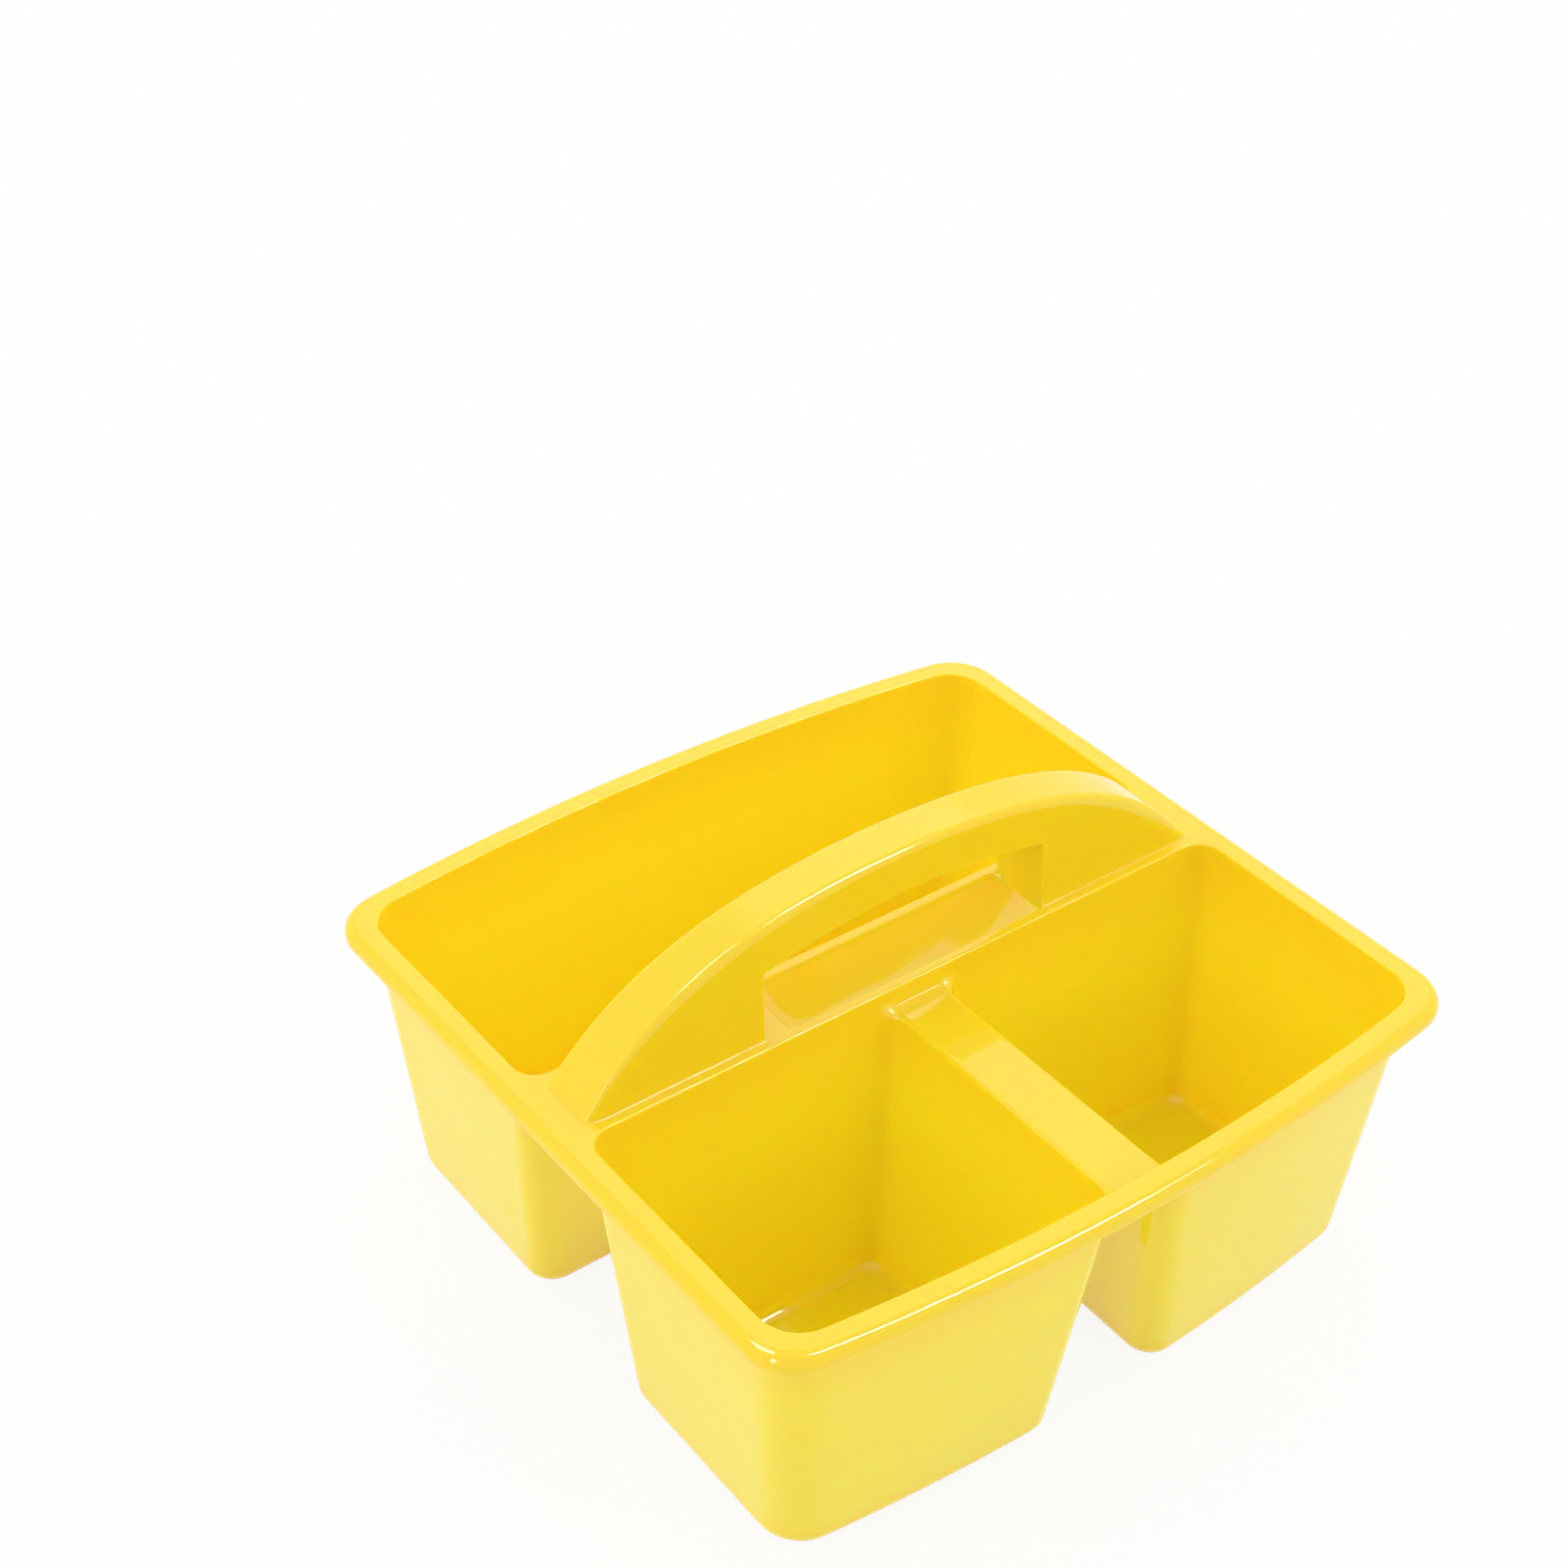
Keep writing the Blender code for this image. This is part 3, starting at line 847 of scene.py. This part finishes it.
def yellow_gloss():
    """Glossy moulded plastic: a yellow painted greener down the walls and redder on the floors, against the
    light bounced in the tubs, with faint flow clouds, slight waves and a fine skin.
    """
    made = bpy.data.materials.new("yellow_gloss_plastic")
    made.use_nodes = True
    tree = made.node_tree
    shader = tree.nodes["Principled BSDF"]
    shader.inputs["Metallic"].default_value = 0.0
    shader.inputs["IOR"].default_value = PLASTIC_IOR
    shader.inputs["Subsurface Weight"].default_value = 1.0
    shader.inputs["Subsurface Radius"].default_value = GLOW_SPREAD
    shader.inputs["Subsurface Scale"].default_value = GLOW_DEPTH
    base = Shade(tree)
    place = base.node("ShaderNodeTexCoord", output="Object")

    def noise(scale, detail, rough=0.5):
        values = {"Vector": place, "Scale": scale, "Detail": detail, "Roughness": rough}
        return base.node("ShaderNodeTexNoise", None, values)

    clouds = noise(CLOUD_SCALE, 3.0)
    waves = noise(WAVE_SCALE, 1.0)
    skin = noise(SKIN_SCALE, 2.0)
    scuffs = noise(SCUFF_SCALE, 4.0, 0.7)
    height_up = base.node("ShaderNodeSeparateXYZ", None, {"Vector": place}, output="Z")
    depth = (RIM_TOP - height_up) * (1 / RIM_TOP)
    cloudy_depth = depth + (clouds - 0.5) * CLOUD_SHARE
    # The base colour follows depth as painted compensation for bounced light; the flow clouds only move it at
    # random.
    colour = base.node("ShaderNodeValToRGB", {"stops": BOUNCE_PAINTED_YELLOWS}, {"Fac": cloudy_depth})
    height = waves * WAVE_HEIGHT + skin * SKIN_HEIGHT
    bump = base.node("ShaderNodeBump", None, {"Height": height, "Strength": 1.0, "Distance": 1.0})
    base.feed(shader.inputs["Base Color"], colour)
    base.feed(shader.inputs["Roughness"], SMOOTHEST + scuffs * SCUFFED)
    base.feed(shader.inputs["Normal"], bump)
    return made


plastic = yellow_gloss()
for piece, nodes in PIECES:
    piece.data.materials.clear()
    piece.data.materials.append(plastic)
    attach(piece, "root")
    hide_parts(*nodes)


# Studio
WHITE = (1.0, 1.0, 1.0, 1.0)
PAPER = (0.86, 0.86, 0.86, 1.0)
FLOOR_SIZE = 6.0
FLOOR_GAP = 0.0004
FLOOR_WHITE = 0.88

# Light by how high it comes from, and soft boxes: (way to it, width, height, brightness)
SKY = ((0.0, 0.0), (0.35, 1.0), (0.80, 0.68))
SKY_STRENGTH = 1.13
SOFT_BOXES = (
    ((0.55, 0.60, 0.72), 0.69, 0.42, 0.6),
    ((0.36, -0.35, 0.86), 0.15, 0.60, 20.0),
    ((-0.20, 0.30, 0.93), 0.32, 0.32, 13.0),
    ((-0.80, -0.31, 0.51), 0.14, 0.45, 10.0),
)

# Fill lights: (name, way to it, strength)
FILL_SPREAD = math.radians(60)
FILLS = (
    ("top_fill", (0.0, 0.0, 1.0), 0.26),
    ("front_fill", (0.45, -0.9, 0.2), 0.42),
    ("left_fill", (-0.9, 0.45, 0.2), 0.78),
    ("right_fill", (1.0, 0.0, 0.2), 0.75),
    ("back_fill", (0.1, 1.0, 0.2), 0.44),
)
HOLE_FILL = 0.0100
HOLE_FILL_SIZE = (0.19, 0.07)


def seen_share(base):
    """1 for the rays that see the backdrop, straight, in gloss or through glass, and 0 for its light."""
    camera = base.node("ShaderNodeLightPath", output="Is Camera Ray")
    glossy = base.node("ShaderNodeLightPath", output="Is Glossy Ray")
    clear = base.node("ShaderNodeLightPath", output="Is Transmission Ray")
    return camera + glossy + clear


def white_floor():
    made = bpy.data.materials.new("white_floor")
    made.use_nodes = True
    tree = made.node_tree
    tree.nodes.clear()
    base = Shade(tree)
    paper = base.node("ShaderNodeBsdfDiffuse", None, {"Color": PAPER})
    white = base.node("ShaderNodeEmission", None, {"Color": WHITE, "Strength": 1.0})
    share = seen_share(base) * FLOOR_WHITE
    mixed = base.node("ShaderNodeMixShader", None, {"Fac": share, 1: paper, 2: white})
    base.node("ShaderNodeOutputMaterial", None, {"Surface": mixed})
    return made


def soft_box(base, way, facing, width, height):
    """1 where a soft box stands round the caddy. Its width and height are in radians."""
    facing = Vector(facing).normalized()
    across = facing.cross((0, 0, 1)).normalized()
    tall = across.cross(facing)

    def along(axis):
        values = {0: way, 1: tuple(axis)}
        return base.node("ShaderNodeVectorMath", {"operation": "DOT_PRODUCT"}, values, output="Value")

    def within(axis, reach):
        return base.node("ShaderNodeMath", {"operation": "COMPARE"}, {0: along(axis), 1: 0.0, 2: reach})

    ahead = base.node("ShaderNodeMath", {"operation": "GREATER_THAN"}, {0: along(facing), 1: 0.0})
    return within(across, width / 2) * within(tall, height / 2) * ahead


def studio_world():
    """White where it is seen, soft boxes in the gloss, and a soft light that fades towards the floor."""
    made = bpy.data.worlds.new("studio")
    made.use_nodes = True
    tree = made.node_tree
    tree.nodes.clear()
    base = Shade(tree)
    way = base.node("ShaderNodeTexCoord", output="Generated")
    rise = base.node("ShaderNodeSeparateXYZ", None, {"Vector": way}, output="Z")
    stops = [(z, (share, share, share, 1.0)) for z, share in SKY]
    sky = base.node("ShaderNodeValToRGB", {"stops": stops}, {"Fac": rise})
    soft = base.node("ShaderNodeBackground", None, {"Color": sky, "Strength": SKY_STRENGTH})
    glossy = base.node("ShaderNodeLightPath", output="Is Glossy Ray")
    shine = 1.0
    for facing, width, height, brightness in SOFT_BOXES:
        shine = shine + glossy * soft_box(base, way, facing, width, height) * brightness
    white = base.node("ShaderNodeBackground", None, {"Color": WHITE, "Strength": shine})
    mixed = base.node("ShaderNodeMixShader", None, {"Fac": seen_share(base), 1: soft, 2: white})
    base.node("ShaderNodeOutputWorld", None, {"Surface": mixed})
    return made


clear_selection()
bpy.ops.mesh.primitive_plane_add(size=FLOOR_SIZE, location=(0, 0, -FLOOR_GAP))
floor = bpy.context.object
floor.name = floor.data.name = "floor"
floor.data.materials.append(white_floor())
bpy.context.scene.world = studio_world()


def lamp(name, kind, strength, place, target, **settings):
    """A lamp at a place, looking at a target."""
    made = bpy.data.lights.new(name, kind)
    made.energy = strength
    for setting, value in settings.items():
        setattr(made, setting, value)
    obj = bpy.data.objects.new(name, made)
    bpy.context.scene.collection.objects.link(obj)
    obj.location = place
    obj.rotation_euler = (Vector(target) - Vector(place)).to_track_quat("-Z", "Y").to_euler()
    return obj


def fill_light(name, way, strength):
    """A faint even light from one side, which reaches into the tubs and the hand hole."""
    obj = lamp(name, "SUN", strength, way, (0, 0, 0), angle=FILL_SPREAD, use_shadow=False)
    obj.visible_glossy = False


for name, way, strength in FILLS:
    fill_light(name, way, strength)
hole_place = Vector((0, 0, RIM_TOP - HOLE_FILL_SIZE[1] / 2))
hole_fill = lamp(
    "hole_fill", "AREA", HOLE_FILL, hole_place, hole_place + Vector((0, 1, 0)),
    shape="RECTANGLE", size=HOLE_FILL_SIZE[0], size_y=HOLE_FILL_SIZE[1], use_shadow=False,
)
hole_fill.visible_glossy = False


# Camera at the photograph's angle
CAMERA_AZIMUTH = math.radians(-37.49654852)
CAMERA_ELEVATION = math.radians(35.88202971)
CAMERA_ROLL = math.radians(1.08599823)
CAMERA_DISTANCE = 0.7470943498
CAMERA_TARGET = Vector((0, 0, 0.0914532711))
FRAME_PIXELS = 1627
FOCAL_PIXELS = 2773.117053
TARGET_PIXEL = (918.5820205, 988.5070224)
SENSOR = 36.0
NEAREST_SEEN = 0.01

sin_a, cos_a = math.sin(CAMERA_AZIMUTH), math.cos(CAMERA_AZIMUTH)
sin_e, cos_e = math.sin(CAMERA_ELEVATION), math.cos(CAMERA_ELEVATION)
back = Vector((sin_a * cos_e, -cos_a * cos_e, sin_e))
level = Vector((cos_a, sin_a, 0))
upward = back.cross(level)
right = math.cos(CAMERA_ROLL) * level + math.sin(CAMERA_ROLL) * upward
upward = math.cos(CAMERA_ROLL) * upward - math.sin(CAMERA_ROLL) * level
aside = (TARGET_PIXEL[0] - FRAME_PIXELS / 2) / FOCAL_PIXELS * CAMERA_DISTANCE
above = (FRAME_PIXELS / 2 - TARGET_PIXEL[1]) / FOCAL_PIXELS * CAMERA_DISTANCE
eye = CAMERA_TARGET - aside * right - above * upward + CAMERA_DISTANCE * back
lens = bpy.data.cameras.new("photo_camera")
lens.sensor_width = SENSOR
lens.lens = FOCAL_PIXELS * SENSOR / FRAME_PIXELS
lens.clip_start = NEAREST_SEEN
camera = bpy.data.objects.new("photo_camera", lens)
bpy.context.scene.collection.objects.link(camera)
camera.matrix_world = Matrix.Translation(eye) @ Matrix((right, upward, back)).transposed().to_4x4()
bpy.context.scene.camera = camera

bpy.context.scene.view_settings.view_transform = "Standard"
